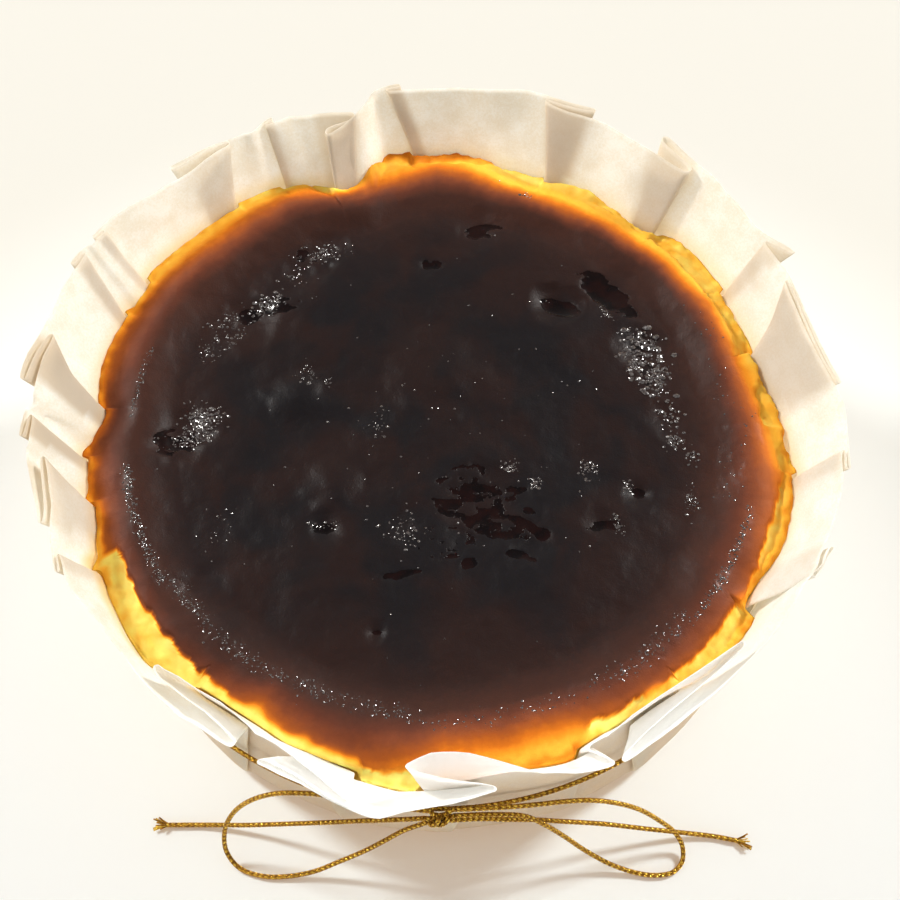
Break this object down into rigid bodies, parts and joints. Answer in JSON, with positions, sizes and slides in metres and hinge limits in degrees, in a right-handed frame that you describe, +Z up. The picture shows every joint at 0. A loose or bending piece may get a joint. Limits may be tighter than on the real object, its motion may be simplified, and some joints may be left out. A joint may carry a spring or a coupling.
{
  "type": "basque cheesecake in a pleated paper case",
  "caption": "Round burnt-top cheesecake, whole, in a pleated baking-paper case with a flared rim, tied round with a thin gold cord in a bow.",
  "frame": {"origin": "middle of the paper case's underside, on the surface that the cake stands on", "axes": "+Z up, -Y towards the bow, +X to the right of someone who faces the bow"},
  "size_m": [0.1691, 0.168, 0.0602],
  "materials": {
    "burnt_crust": "dark satin baked crust",
    "baking_paper": "thin creased baking paper",
    "gold_cord": "braided metallic thread"
  },
  "bodies": {
    "root": {"cheesecake": "burnt_crust", "parchment_case": "baking_paper", "tie_ring": "gold_cord", "tie_knot": "gold_cord", "bow_loop_left": "gold_cord", "bow_loop_right": "gold_cord", "bow_tail_left": "gold_cord", "bow_tail_right": "gold_cord"}
  },
  "joints": []
}
